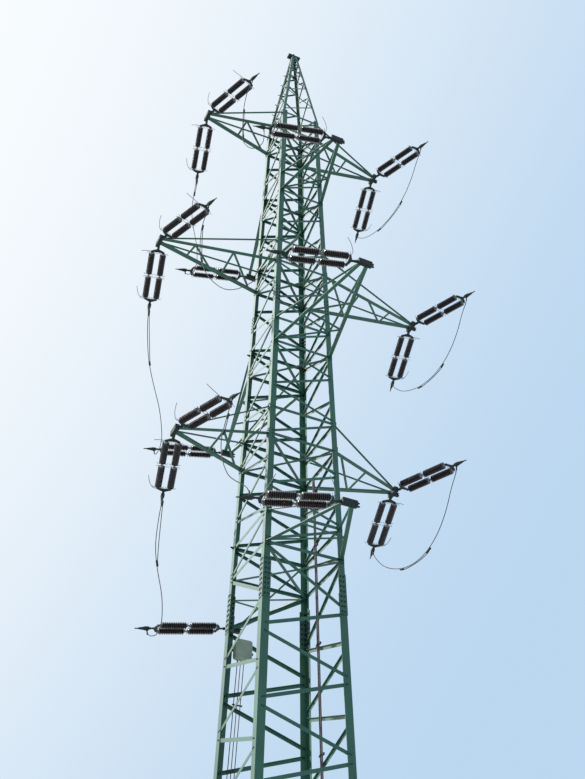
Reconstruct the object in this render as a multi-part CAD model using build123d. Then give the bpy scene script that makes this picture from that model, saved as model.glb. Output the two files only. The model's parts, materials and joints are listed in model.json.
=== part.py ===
from build123d import *
import os
from math import atan, atan2, ceil, cos, degrees, hypot, pi, radians, sin, sqrt, tan

os.makedirs("parts", exist_ok=True)

# Body: four legs that lean in evenly, millimetres above the ground
plate_thick = 40.0
top_chord_height = 32400.0
level_spacing = 3350.0
splice_drop = 950.0
tie_rise = 920.0
top_chord_half_width = 690.0
lean = 0.0227
neck = 130.0
body_top = top_chord_height + tie_rise + neck

# Reach of the arms from the axis to the middle of the tip box, from the top level down
main_high_reach = 3150.0
branch_high_reach = 3280.0
main_middle_reach = 4260.0
branch_middle_reach = 4620.0
main_low_reach = 3230.0
branch_low_reach = 3410.0
arm_reaches = {
    "main_high": main_high_reach,
    "branch_high": branch_high_reach,
    "main_middle": main_middle_reach,
    "branch_middle": branch_middle_reach,
    "main_low": main_low_reach,
    "branch_low": branch_low_reach,
}
arm_levels = {
    name: (top_chord_height - steps * level_spacing, reach)
    for steps, (name, reach) in enumerate(arm_reaches.items())
}
lowest_chord = arm_levels["branch_low"][0]
splice_height = lowest_chord - splice_drop

# Leg angles
lower_flange = 200.0
upper_flange = 160.0
leg_thick = 16.0
splice_plate = 12.0
splice_length = 1100.0
splice_cover = 190.0

# Foot plates with two anchor bolts each, on the diagonal
foot_plate = 520.0
anchor_spacing = 360.0
anchor_hole_radius = 21.0

# Bracing angles of the sides: gauge is from the heel of a leg, gaps are between the ends of two bars on a leg
brace_thick = 8.0
brace_gauge = 120.0
end_overrun = 35.0
outstand = 50.0
lower_brace = 90.0
upper_brace = 75.0
strut_width = 90.0
strut_gap = 220.0
upper_gap = 120.0
lower_gap = 210.0
first_bay = 1400.0
lower_bay_share = 0.397
upper_bays = 3
foot_clearance = 450.0

# Level frames
frame_brace = 80.0
frame_drop = 30.0

# Peak
peak_rise = 4350.0
peak_top = body_top + peak_rise
peak_top_half_width = 95.0
peak_flange = 90.0
peak_thick = 8.0
peak_gauge = 72.0
peak_brace = 50.0
peak_brace_thick = 6.0
peak_outstand = 30.0
peak_overrun = 20.0
peak_gap = 70.0
peak_bay_share = 0.62
cap_length = 460.0
cap_width = 200.0
cap_thick = 60.0
cap_post = (60.0, 40.0, 180.0)

# Arms
arm_plate = 12.0
main_chord = 110.0
branch_chord = 100.0
chord_outstand = 55.0
chord_overrun = 30.0
arm_brace = 65.0
tie_width = 60.0
tie_overrun = 45.0
tie_start = 25.0
tip_box_length = 380.0
tip_box_width = 110.0
tip_box_height = 150.0
tip_box_drop = 95.0
tip_chord_offset = 80.0
gusset_width = 140.0
gusset_height = 260.0
tie_gusset_height = 180.0
lug_start = 150.0
lug_length = 100.0
lug_height = 70.0
lug_thick = 24.0

# Insulator strings: two lines side by side, two rods in each line
shed_length = 690.0
shed_radius = 95.0
rod_sides = 8
cap = 45.0
cap_size = 60.0
line_spacing = 330.0
middle_gap = 32.0
main_near_link = 50.0
main_far_link = 60.0
branch_near_link = 110.0
branch_far_link = 115.0
link_width = 60.0
yoke_depth = 120.0
yoke_shoulder = 90.0
yoke_thick = 24.0
yoke_wing = 40.0
clamp_length = 390.0
clamp_radius = 32.0

# Links at the tip box and at the clamp, by kind of arm
string_links = {"main": (main_near_link, main_far_link), "branch": (branch_near_link, branch_far_link)}

# Directions of the strings: clockwise from +Y seen from above, and the fall
towards_line = {"near": (161.0, 5.0), "far": (13.0, 16.0), "branch": (278.0, 9.0)}

# Jumpers: where they leave a clamp, their straight start, and the size their shapes are given in
jumper_diameter = 22.0
jumper_sides = 6
jumper_share = 0.15
jumper_lead = 180.0
jumper_run = 290.0
jumper_unit = 1000.0
fillet_share = 0.45

# Cables and pipe inside the body, the box above the cables
line_sides = 6
cable_diameter = 22.0
cable_spacing = 85.0
cable_lean = 0.036
cable_stop = 1.0
pipe_diameter = 36.0
pipe_spacing = 80.0
pipe_offset = 300.0
pipe_top_height = arm_levels["main_low"][0]
joint_box = (420.0, 480.0, 200.0)
joint_box_round = 70.0
joint_box_offset = 700.0
joint_box_drop = 940.0
joint_box_height = splice_height - joint_box_drop
rail_size = (60.0, 14.0)
rail_tail = 110.0
line_foot = 60.0

side_names = ("front", "right", "back", "left")
arm_turns = {"left": -1, "front": 0, "right": 1, "back": 2}
stretch = sqrt(1 + lean**2)
lean_angle = atan(lean)


def half_width(height):
    return top_chord_half_width + lean * (top_chord_height - height)


def quarter_turn(shape, turns):
    return Rot(0, 0, 90 * turns) * shape


def save(name, shape):
    export_step(shape, f"parts/{name}.step")


def save_all_round(name, shape):
    save(name, Compound([quarter_turn(shape, turn) for turn in range(4)]))


# A leaning angle: heel outwards, on the corner towards -X and -Y
def leaning_angle(low, high, low_half, high_half, flange, thick, proud=0.0):
    outline = [(-proud, -proud), (flange, -proud), (flange, thick - proud)]
    outline += [(thick - proud, thick - proud), (thick - proud, flange), (-proud, flange)]
    points = [(a - low_half, b - low_half) for a, b in outline]
    profile = Plane.XY.offset(low) * make_face(Polyline(*points, close=True))
    path = Vector(low_half - high_half, low_half - high_half, high - low)
    return extrude(profile, amount=path.length, dir=path.normalized())


def body_angle(low, high, flange, thick, proud=0.0):
    return leaning_angle(low, high, half_width(low), half_width(high), flange, thick, proud)


# The plane of the side towards -Y, its local y running up the slope, its back towards the axis
def side_plane(base_half, base_height, slope, inset):
    face = Plane(origin=(0, -base_half, base_height), x_dir=(1, 0, 0), z_dir=(0, -1, slope))
    return face.offset(-inset * cos(atan(slope)))


body_outside = side_plane(half_width(0), 0, lean, 0)
body_inside = side_plane(half_width(0), 0, lean, leg_thick)


# A flat bar in the plane of the drawing
def bar(start, end, width, overrun):
    middle = ((start[0] + end[0]) / 2, (start[1] + end[1]) / 2)
    length = hypot(end[0] - start[0], end[1] - start[1]) + 2 * overrun
    turn = degrees(atan2(end[1] - start[1], end[0] - start[0]))
    return Pos(*middle) * Rot(0, 0, turn) * Rectangle(length, width)


# An angle bar on the back of a plane: one leg flat on it, the other at its upper edge, pointing inwards
def angle_bar(plane, start, end, width, thick, reach, overrun):
    if end[0] > start[0]:
        start, end = end, start
    along = Vector(end[0] - start[0], end[1] - start[1]).normalized()
    across = Vector(along.Y, -along.X)
    half = width / 2
    points = [(-half, 0), (half, 0), (half, reach)]
    points += [(half - thick, reach), (half - thick, thick), (-half, thick)]
    origin = Vector(*start) - along * overrun
    section = Plane(origin=origin, x_dir=across, z_dir=along) * make_face(Polyline(*points, close=True))
    return plane * extrude(section, (Vector(*end) - Vector(*start)).length + 2 * overrun)


def body_bar(low_height, low_side, high_height, high_side, width):
    start = (low_side * (half_width(low_height) - brace_gauge), low_height * stretch)
    end = (high_side * (half_width(high_height) - brace_gauge), high_height * stretch)
    return angle_bar(body_inside, start, end, width, brace_thick, outstand, end_overrun)


# Bars that climb from leg to leg, each ending short of the next one by a gap
def zigzag(nodes, gaps, side, width):
    bars = []
    for low, high, low_gap, high_gap in zip(nodes, nodes[1:], gaps, gaps[1:]):
        bars.append(body_bar(low + low_gap / 2, side, high - high_gap / 2, -side, width))
        side = -side
    return bars


def lower_side():
    nodes = [lowest_chord - first_bay]
    while True:
        following = nodes[-1] - lower_bay_share * 2 * half_width(nodes[-1])
        if following < foot_clearance:
            break
        nodes.append(following)
    lowest_side = 1 if len(nodes) % 2 else -1
    nodes.reverse()
    return zigzag(nodes, [lower_gap] * len(nodes), lowest_side, lower_brace)


def upper_side():
    levels = sorted(height for height, reach in arm_levels.values())
    bars = [
        body_bar(levels[0] - first_bay + lower_gap / 2, 1, levels[0] - strut_gap / 2, -1, lower_brace)
    ]
    for index, low in enumerate(levels):
        tie = low + tie_rise
        for height in (low, tie):
            bars.append(body_bar(height, -1, height, 1, strut_width))
        nodes = [low, tie]
        gaps = [strut_gap, strut_gap]
        if low < top_chord_height:
            step = (levels[index + 1] - tie) / upper_bays
            nodes += [tie + step * bay for bay in range(1, upper_bays + 1)]
            gaps += [upper_gap] * (upper_bays - 1) + [strut_gap]
        bars += zigzag(nodes, gaps, -1, upper_brace)
    return bars


# Everything inside the given distance behind the faces of the body, as a tapered block
def body_core(inset):
    base = 2 * (half_width(0) - inset)
    return extrude(Rectangle(base, base), body_top, taper=degrees(lean_angle))


# Two crossing flats that end in the corners of the legs
def level_frame(height):
    low = height - frame_drop
    tip = sqrt(2) * (half_width(low) - leg_thick)
    half = frame_brace / 2
    outline = [(tip, 0), (tip - half, half), (half - tip, half)]
    outline += [(-a, -b) for a, b in outline]
    strip = Pos(0, 0, low) * make_face(Polyline(*outline, close=True))
    flats = [extrude(Rot(0, 0, turn) * strip, brace_thick, taper=degrees(lean_angle)) for turn in (45, -45)]
    return flats[0] + flats[1]


peak_slope = (half_width(body_top) - peak_top_half_width) / peak_rise


def peak_half_width(height):
    return half_width(body_top) - peak_slope * (height - body_top)


def peak_leg():
    low_half = half_width(body_top)
    return leaning_angle(body_top, peak_top, low_half, peak_top_half_width, peak_flange, peak_thick)


def peak_side():
    plane = side_plane(half_width(body_top), body_top, peak_slope, peak_thick)
    bars = []
    height = body_top + peak_flange
    side = -1
    while True:
        following = height + peak_bay_share * 2 * peak_half_width(height)
        if following > peak_top - peak_flange:
            return bars
        ends = []
        for place, shift, edge in ((height, peak_gap / 2, side), (following, -peak_gap / 2, -side)):
            up = place + shift
            across = edge * (peak_half_width(up) - peak_gauge)
            ends.append((across, (up - body_top) * sqrt(1 + peak_slope**2)))
        bars.append(angle_bar(plane, *ends, peak_brace, peak_brace_thick, peak_outstand, peak_overrun))
        height = following
        side = -side


def peak_cap():
    plate = Pos(0, 0, peak_top + cap_thick / 2) * Box(cap_length, cap_width, cap_thick)
    post = Pos(0, 0, peak_top + cap_thick + cap_post[2] / 2) * Box(*cap_post)
    return plate + post


def tip_middle(height):
    return height + tip_box_height / 2 - tip_box_drop


def tip_box(height, reach):
    return Pos(0, -reach, tip_middle(height)) * Box(tip_box_length, tip_box_width, tip_box_height)


# A point on one chord of an arm towards -Y, a share of the way from the tip to the body
def chord_point(height, reach, side, share, inward=0.0):
    root = half_width(height)
    tip = Vector(side * tip_chord_offset, -reach)
    along = Vector(side * (root - gusset_width / 2), -root) - tip
    point = tip + along * share + Vector(-along.Y, along.X).normalized() * side * inward
    return (point.X, point.Y)


def gusset(height, side, tall):
    centre = side * (half_width(height) - gusset_width / 2)
    plate = Pos(centre, height * stretch) * Rectangle(gusset_width, tall)
    return extrude(body_outside * plate, arm_plate)


# One arm towards -Y: two level chords with their upstanding legs, plan bracing and the tip box
def arm(height, reach, chord, bracing, outside):
    flats = Sketch()
    webs = Sketch()
    for side in (-1, 1):
        start = chord_point(height, reach, side, 0)
        end = chord_point(height, reach, side, 1)
        flats += bar(start, end, chord, chord_overrun)
        edge = (chord - arm_plate) / 2
        start = chord_point(height, reach, side, 0, edge)
        end = chord_point(height, reach, side, 1, edge)
        webs += bar(start, end, arm_plate, chord_overrun)
    for near, near_share, far, far_share in bracing:
        start = chord_point(height, reach, near, near_share)
        end = chord_point(height, reach, far, far_share)
        flats += bar(start, end, arm_brace, 0)
    level = Plane.XY.offset(height)
    frame = extrude(level * flats, arm_plate) + extrude(level * webs, chord_outstand)
    frame += tip_box(height, reach)
    for side in (-1, 1):
        frame += gusset(height + chord_outstand / 2, side, gusset_height)
    return frame - outside


# The two ties of that arm, each with the gusset that holds it on a leg
def arm_ties(height, reach, outside):
    top = height + tie_rise
    box = tip_box(height, reach)
    ties = []
    for side in (-1, 1):
        start = Vector(side * tip_chord_offset, -reach, height + tie_start)
        end = Vector(side * (half_width(top) - gusset_width / 2), -half_width(top), top)
        along = (end - start).normalized()
        section = Plane(origin=start, x_dir=(1, 0, 0), z_dir=along) * Rectangle(tie_width, arm_plate)
        flat = extrude(section, (end - start).length + tie_overrun)
        ties.append(flat + gusset(top, side, tie_gusset_height) - outside - box)
    return ties


# X along the line, Z up, the origin where the lug leaves the tip box
def line_frame(tip, azimuth, fall):
    a, f = radians(azimuth), radians(fall)
    along = Vector(sin(a) * cos(f), cos(a) * cos(f), -sin(f))
    across = Vector(cos(a), -sin(a), 0)
    origin = Vector(tip.X + sin(a) * lug_start, tip.Y + cos(a) * lug_start, tip.Z)
    return Plane(origin=origin, x_dir=along, z_dir=across.cross(along))


def lug(frame):
    return frame * (Pos(lug_length / 2, 0, 0) * Box(lug_length, lug_thick, lug_height))


# Plate from a single link to the caps of two rods, drawn from the link towards +X
def yoke(link):
    narrow = link_width / 2
    wide = line_spacing / 2 + yoke_wing
    outer = (line_spacing + cap_size) / 2
    inner = (line_spacing - cap_size) / 2
    depth = link + yoke_depth
    half = [(0, narrow), (link, narrow), (link + yoke_shoulder, wide), (depth, wide)]
    half += [(depth, outer), (depth + cap, outer), (depth + cap, inner), (depth, inner)]
    points = half + [(x, -y) for x, y in reversed(half)]
    return extrude(make_face(Polyline(*points, close=True)), yoke_thick / 2, both=True)


def string_marks(kind):
    near_link, far_link = string_links[kind]
    rods_start = lug_length + near_link + yoke_depth + cap
    second = rods_start + shed_length + 2 * cap + middle_gap
    clamp_start = second + shed_length + cap + yoke_depth + far_link
    return rods_start, second, clamp_start


def string(frame, kind):
    near_link, far_link = string_links[kind]
    rods_start, second, clamp_start = string_marks(kind)
    clamp = Pos(clamp_start + clamp_length / 2, 0, 0) * Box(clamp_length, 2 * clamp_radius, 2 * clamp_radius)
    near = Pos(lug_length, 0, 0) * yoke(near_link)
    far = Pos(clamp_start, 0, 0) * Rot(0, 0, 180) * yoke(far_link) + clamp
    sheds = extrude(Plane.YZ * RegularPolygon(shed_radius, rod_sides), shed_length)
    between = second - rods_start - shed_length
    joint = Pos(second - between / 2, 0, 0) * Box(between, cap_size, cap_size)
    rods = []
    fittings = [near, far]
    for offset in (-line_spacing / 2, line_spacing / 2):
        rods += [Pos(rods_start, offset, 0) * sheds, Pos(second, offset, 0) * sheds]
        fittings.append(Pos(0, offset, 0) * joint)
    return [frame * rod for rod in rods], [frame * fitting for fitting in fittings]


def string_frame(level, side, line):
    height, reach = arm_levels[level]
    tip = Vector(0, -reach, tip_middle(height)).rotate(Axis.Z, 90 * arm_turns[side])
    return line_frame(tip, *towards_line[line])


# Where a jumper leaves a clamp, 1 on its top or -1 on its underside, and how far its straight start reaches
def jumper_end(level, side, line, face):
    frame = string_frame(level, side, line)
    along = string_marks(level.split("_")[0])[2] + jumper_share * clamp_length
    exit_point = frame.from_local_coords(Vector(along, 0, face * clamp_radius))
    lead_point = frame.from_local_coords(Vector(along, 0, face * (clamp_radius + jumper_lead)))
    return exit_point, lead_point


# Shapes of the jumpers, chosen by hand: share of the way in plan, drop and outward swing
under_arm = [(0.07, 0.30, 0.0), (0.15, 0.62, 0.0), (0.27, 0.90, 0.0), (0.43, 1.02, 0.0), (0.60, 0.95, 0.0)]
under_arm += [(0.75, 0.76, 0.0), (0.89, 0.47, 0.0)]
to_front_high = [(0.0, 0.85, 0.16), (0.03, 1.55, 0.25), (0.12, 1.95, 0.30), (0.25, 2.28, 0.34)]
to_front_high += [(0.38, 2.50, 0.33), (0.60, 2.10, 0.13), (0.85, 1.05, -0.08), (0.98, 0.40, -0.04)]
to_front_middle = [(-0.02, 0.95, 0.10), (-0.02, 1.57, 0.12), (0.0, 2.14, 0.12), (0.06, 2.54, 0.09)]
to_front_middle += [(0.16, 2.74, 0.05), (0.32, 2.70, 0.0), (0.53, 2.22, 0.0)]
to_front_middle += [(0.76, 1.38, 0.0), (0.94, 0.56, 0.0)]
to_front_low = [(0.0, 0.50, 0.09), (0.07, 0.82, 0.21), (0.15, 0.96, 0.30), (0.26, 1.01, 0.34)]
to_front_low += [(0.39, 0.98, 0.34), (0.55, 0.84, 0.28), (0.70, 0.52, 0.18), (0.86, 0.12, 0.08)]
to_back = [(0.05, 0.32, 0.03), (0.18, 0.36, 0.05), (0.32, 0.36, 0.03), (0.46, 0.42, -0.10)]
to_back += [(0.60, 0.60, -0.30), (0.76, 0.74, -0.36), (0.88, 0.62, -0.22)]
under, over = -1, 1
jumper_shapes = {
    "right_high": ("right", "near", "main", "right", "far", under, under_arm, 1.32),
    "right_middle": ("right", "near", "main", "right", "far", under, under_arm, 1.47),
    "right_low": ("right", "near", "main", "right", "far", under, under_arm, 1.62),
    "front_high": ("left", "near", "branch", "front", "branch", under, to_front_high, 1.0),
    "front_middle": ("left", "near", "branch", "front", "branch", under, to_front_middle, 1.0),
    "front_low": ("left", "near", "branch", "front", "branch", over, to_front_low, 1.0),
    "back_high": ("left", "far", "branch", "back", "branch", under, to_back, 1.0),
    "back_middle": ("left", "far", "branch", "back", "branch", under, to_back, 1.0),
    "back_low": ("left", "far", "branch", "back", "branch", under, to_back, 1.0),
}


# Points close together on a smooth line through the guides
def smooth_points(guides):
    points = [guides[0]]
    padded = [guides[0] * 2 - guides[1]] + guides + [guides[-1] * 2 - guides[-2]]
    for a, b, c, d in zip(padded, padded[1:], padded[2:], padded[3:]):
        count = ceil((c - b).length / jumper_run)
        for step in range(1, count + 1):
            t = step / count
            bend = a * (2 * t**2 - t - t**3) + b * (2 - 5 * t**2 + 3 * t**3)
            bend += c * (t + 4 * t**2 - 3 * t**3) + d * (t**3 - t**2)
            points.append(bend / 2)
    return points


def jumper_points(start, end, shape, swing):
    outward = Vector(-1, 0, 0)
    guides = [start[0], start[1]]
    for share, drop, out in shape:
        place = start[0] + (end[0] - start[0]) * share
        guides.append(place + outward * (out * jumper_unit) - Vector(0, 0, drop * swing * jumper_unit))
    guides += [end[1], end[0]]
    return smooth_points(guides)


def jumper(name, points):
    radii = []
    for a, b, c in zip(points, points[1:], points[2:]):
        half_turn = radians((b - a).get_angle(c - b)) / 2
        shorter = min((b - a).length, (c - b).length)
        radii.append(fillet_share * shorter / tan(half_turn))
    path = FilletPolyline(*points, radius=radii)
    radius = jumper_diameter / 2 * sqrt(2 * pi / (jumper_sides * sin(2 * pi / jumper_sides)))
    start = Plane(origin=points[0], z_dir=points[1] - points[0])
    tube = sweep(start * RegularPolygon(radius, jumper_sides), path=path)
    expected = pi * jumper_diameter**2 / 4 * path.length
    print(name, f"length {path.length:.0f} volume share {tube.volume / expected:.4f}")
    print("  radii", *(f"{radius:.0f}" for radius in radii))
    save(f"jumper_{name}", tube)


def foot():
    spread = half_width(0) - lower_flange / 2
    plate = extrude(Rectangle(foot_plate, foot_plate), plate_thick)
    for diagonal in (-anchor_spacing / 2, anchor_spacing / 2):
        plate -= Pos(diagonal, diagonal, 0) * extrude(Circle(anchor_hole_radius), plate_thick)
    return Pos(-spread, -spread, 0) * plate


# A straight line of pipe or cable that lies on the inner edges of the bars of the side towards -Y
def inside_line(low_x, low_height, high_x, high_height, diameter):
    radius = diameter / 2
    depth = outstand + radius * cos(pi / line_sides)
    start = Vector(low_x, low_height * stretch, -depth)
    end = Vector(high_x, high_height * stretch, -depth)
    plane = Plane(origin=start, x_dir=(0, 0, -1), z_dir=end - start)
    section = plane * RegularPolygon(radius, line_sides, rotation=180 / line_sides)
    return body_inside * extrude(section, (end - start).length)


# Box and rail on the leg at the +X end of the side towards -Y, the cables that lead down from the box
def joint_box_set(between_legs):
    rail_tall, rail_deep = rail_size
    width, tall, deep = joint_box
    depth = outstand + rail_deep
    low = joint_box_height * stretch
    rail_end = joint_box_offset - width / 2 - rail_tail
    rail_length = half_width(joint_box_height) - rail_end
    rail = Box(rail_length, rail_tall, rail_deep)
    rail = Pos(rail_end + rail_length / 2, low, -outstand - rail_deep / 2) * rail
    body = Pos(joint_box_offset, low, -depth - deep / 2) * Box(width, tall, deep)
    body = fillet(body.edges().filter_by(Axis.Z), joint_box_round)
    return (body_inside * rail) & between_legs, body_inside * body


# Plan bracing by kind of arm and whether it is the long one: side and share of each end
arm_bracing = {
    ("main", True): [(1, 0.30, -1, 0.27), (1, 0.30, -1, 0.52), (1, 0.63, -1, 0.63), (1, 0.63, -1, 0.93)],
    ("main", False): [(1, 0.52, -1, 0.50), (1, 0.52, -1, 0.92)],
    ("branch", True): [(1, 0.40, -1, 0.61), (-1, 0.61, 1, 0.69), (1, 0.69, -1, 0.97)],
    ("branch", False): [(1, 0.60, -1, 0.55), (1, 0.60, -1, 0.96)],
}


# Sides and string directions of each kind of arm
arm_places = (("main", ("left", "right"), ("near", "far")), ("branch", ("front", "back"), ("branch",)))


def build_arms_and_strings():
    outside = body_core(0)
    for kind, sides, lines in arm_places:
        chord = main_chord if kind == "main" else branch_chord
        ties = []
        rods = []
        fittings = []
        for size in ("high", "middle", "low"):
            name = f"{kind}_{size}"
            height, reach = arm_levels[name]
            bare_arm = arm(height, reach, chord, arm_bracing[kind, size == "middle"], outside)
            bare_ties = arm_ties(height, reach, outside)
            arms = []
            for side in sides:
                body = quarter_turn(bare_arm, arm_turns[side])
                for line in lines:
                    frame = string_frame(name, side, line)
                    body += lug(frame)
                    string_rods, string_fittings = string(frame, kind)
                    rods += string_rods
                    fittings += string_fittings
                arms.append(body)
                ties += [quarter_turn(tie, arm_turns[side]) for tie in bare_ties]
            save(f"arms_{name}", Compound(arms))
        save(f"ties_{kind}", Compound(ties))
        save(f"insulators_{kind}", Compound(rods))
        save(f"string_fittings_{kind}", Compound(fittings))


def build_body():
    save_all_round("legs_lower", body_angle(plate_thick, splice_height, lower_flange, leg_thick))
    save_all_round("legs_upper", body_angle(splice_height, body_top, upper_flange, leg_thick))
    lower_bars = lower_side()
    upper_bars = upper_side()
    for turn, side in enumerate(side_names):
        save(f"side_lower_{side}", quarter_turn(Compound(lower_bars), turn))
        save(f"side_upper_{side}", quarter_turn(Compound(upper_bars), turn))
    cover_low = splice_height - splice_length / 2
    cover = body_angle(cover_low, cover_low + splice_length, splice_cover, splice_plate, splice_plate)
    save_all_round("leg_splices", cover)
    save_all_round("base_plates", foot())
    save("level_frames", Compound([level_frame(height) for height, reach in arm_levels.values()]))
    save_all_round("peak_legs", peak_leg())
    save_all_round("peak_sides", Compound(peak_side()))
    save("peak_cap", peak_cap())


def build_lines():
    rail, box = joint_box_set(body_core(leg_thick))
    save("joint_box", quarter_turn(box, 2))
    save("joint_box_rail", quarter_turn(rail, 2))
    top = joint_box_height - joint_box[1] / 2 / stretch - cable_stop
    cables = []
    for place in (-1, 0, 1):
        high_x = joint_box_offset + place * cable_spacing
        low_x = high_x + cable_lean * (top - line_foot)
        cables.append(quarter_turn(inside_line(low_x, line_foot, high_x, top, cable_diameter), 2))
    save("down_cables", Compound(cables))
    pipes = []
    for place in (-pipe_spacing / 2, pipe_spacing / 2):
        offset = pipe_offset + place
        pipes.append(quarter_turn(inside_line(offset, line_foot, offset, pipe_top_height, pipe_diameter), 1))
    save("down_pipes", Compound(pipes))


def build_jumpers():
    for name, (side, line, far_kind, far_side, far_line, face, shape, swing) in jumper_shapes.items():
        level = name.split("_")[1]
        start = jumper_end(f"main_{level}", side, line, under)
        end = jumper_end(f"{far_kind}_{level}", far_side, far_line, face)
        jumper(name, jumper_points(start, end, shape, swing))


build_body()
build_arms_and_strings()
build_lines()
build_jumpers()
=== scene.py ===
import json
from itertools import product
from math import ceil, cos, pi, radians, sin

import bpy
from mathutils import Matrix, Vector


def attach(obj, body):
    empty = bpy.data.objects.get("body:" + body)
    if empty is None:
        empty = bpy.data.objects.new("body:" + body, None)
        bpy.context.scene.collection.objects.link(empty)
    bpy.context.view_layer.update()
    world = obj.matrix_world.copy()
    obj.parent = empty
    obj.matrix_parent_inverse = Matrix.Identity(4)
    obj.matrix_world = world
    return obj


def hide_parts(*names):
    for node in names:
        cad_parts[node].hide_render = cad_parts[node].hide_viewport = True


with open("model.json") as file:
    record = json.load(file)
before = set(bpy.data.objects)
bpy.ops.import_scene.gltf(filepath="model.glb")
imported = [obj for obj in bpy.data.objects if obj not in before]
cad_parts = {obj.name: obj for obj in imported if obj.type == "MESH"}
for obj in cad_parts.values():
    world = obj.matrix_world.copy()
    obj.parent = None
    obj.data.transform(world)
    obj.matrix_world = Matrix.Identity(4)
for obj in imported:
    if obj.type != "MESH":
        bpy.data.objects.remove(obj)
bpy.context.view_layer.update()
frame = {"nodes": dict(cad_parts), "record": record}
scene = bpy.context.scene
turnOfSide = {"left": -1, "front": 0, "right": 1, "back": 2}
sidesOfKind = {"main": ("left", "right"), "branch": ("front", "back")}
linesOfKind = {"main": ("near", "far"), "branch": ("branch",)}

# The twelve arms: level and side
arms = [
    (f"{kind}_{size}", side)
    for kind, sides in sidesOfKind.items() for size in ("high", "middle", "low") for side in sides
]
noTurn = Matrix()
halfTurnX = Matrix.Rotation(pi, 4, "X")
halfTurnZ = Matrix.Rotation(pi, 4, "Z")


def moved(x, y, z):
    return Matrix.Translation((x, y, z))


def quarterTurn(turns):
    return Matrix.Rotation(radians(90 * turns), 4, "Z")


def addObject(name, data):
    made = bpy.data.objects.new(name, data)
    scene.collection.objects.link(made)
    return made


# The mesh of an object with its modifiers or its bevel
def bakedMesh(source):
    graph = bpy.context.evaluated_depsgraph_get()
    return bpy.data.meshes.new_from_object(source.evaluated_get(graph), depsgraph=graph)


# A socket of a node tree, with operators for shader maths
class Wire:
    def __init__(self, tree, socket):
        self.tree = tree
        self.socket = socket

    def node(self, kind, inputs, output=0, **settings):
        made = self.tree.nodes.new(kind)
        for name, value in settings.items():
            setattr(made, name, value)
        for key, value in inputs.items():
            if isinstance(value, Wire):
                self.tree.links.new(value.socket, made.inputs[key])
            else:
                made.inputs[key].default_value = value
        return Wire(self.tree, made.outputs[output])

    def maths(self, operation, *values):
        return self.node("ShaderNodeMath", dict(enumerate(values)), operation=operation)

    def __add__(self, other):
        return self.maths("ADD", self, other)

    def __mul__(self, other):
        return self.maths("MULTIPLY", self, other)

    def __rsub__(self, other):
        return self.maths("SUBTRACT", other, self)

    __radd__ = __add__
    __rmul__ = __mul__

    def between(self, low, high):
        return self.node(
            "ShaderNodeMapRange", {"Value": self, "From Min": low, "From Max": high}, interpolation_type="SMOOTHSTEP"
        )

    def noise(self, scale, detail=3.0, roughness=0.55):
        inputs = {"Vector": self, "Scale": scale, "Detail": detail, "Roughness": roughness}
        return self.node("ShaderNodeTexNoise", inputs)

    # Two colours mixed by this wire
    def mix(self, first, second):
        first, second = (value if isinstance(value, Wire) else (*value, 1) for value in (first, second))
        return self.node("ShaderNodeMix", {"Factor": self, 6: first, 7: second}, output=2, data_type="RGBA")


# A material, its object coordinates, and plug to its shader
def newLook(name, constants):
    look = bpy.data.materials.new(name)
    look.use_nodes = True
    tree = look.node_tree
    shader = tree.nodes["Principled BSDF"]
    for key, value in constants.items():
        shader.inputs[key].default_value = value
    coordinates = Wire(tree, tree.nodes.new("ShaderNodeTexCoord").outputs["Object"])

    def plug(key, wire):
        tree.links.new(wire.socket, shader.inputs[key])

    return look, coordinates, plug


# Layers a look can have: rough adds to its roughness, metal takes from its metal
layerSettings = {
    "fade": {"noise": (2.0,), "range": (0.35, 0.68), "rough": 0.12},
    "grime": {"stretch": (5.0, 5.0, 1.2), "noise": (5.0, 0.65), "range": (0.55, 0.78), "rough": 0.15},
    "chips": {"noise": (4.0, 0.7), "range": (0.70, 0.76)},
    "spangle": {"noise": (4.0, 0.6), "range": (0.35, 0.65)},
    "stain": {"stretch": (3.0, 3.0, 1.0), "noise": (4.0,), "range": (0.50, 0.75), "rough": 0.2, "metal": 0.35},
    "tone": {"noise": (3.0,), "range": (0.3, 0.7)},
    "dust": {"noise": (5.0, 0.7), "range": (0.5, 0.8), "rough": 0.3},
}
coatDefault = (0.0, 0.5)
bumpSettings = {"scale": 90.0, "detail": 3.0, "strength": 0.08, "distance": 0.002}


# The settings of a look give each layer as colour, scale and amount
def makeLook(name, s):
    coat, coatRough = s.get("coat", coatDefault)
    look, place, plug = newLook(name, {"Metallic": 0.0, "Coat Weight": coat, "Coat Roughness": coatRough})
    color, rough = s["color"], s["roughness"]
    for key, layer in layerSettings.items():
        if key not in s:
            continue
        layerColor, scale, amount = s[key]
        spread = place.node("ShaderNodeMapping", {"Vector": place, "Scale": layer.get("stretch", (1, 1, 1))})
        pattern = spread.noise(scale, *layer["noise"]).between(*layer["range"])
        color = (pattern * amount).mix(color, layerColor)
        if "rough" in layer:
            rough = rough + layer["rough"] * pattern
        if "metal" in layer:
            plug("Metallic", s["metallic"] - layer["metal"] * pattern)
    plug("Base Color", color)
    plug("Roughness", rough)
    # Paint has a fine bump too
    if "chips" in s:
        height = place.noise(bumpSettings["scale"], bumpSettings["detail"])
        bump = {"Height": height, "Strength": bumpSettings["strength"], "Distance": bumpSettings["distance"]}
        plug("Normal", height.node("ShaderNodeBump", bump))
    return look


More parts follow.
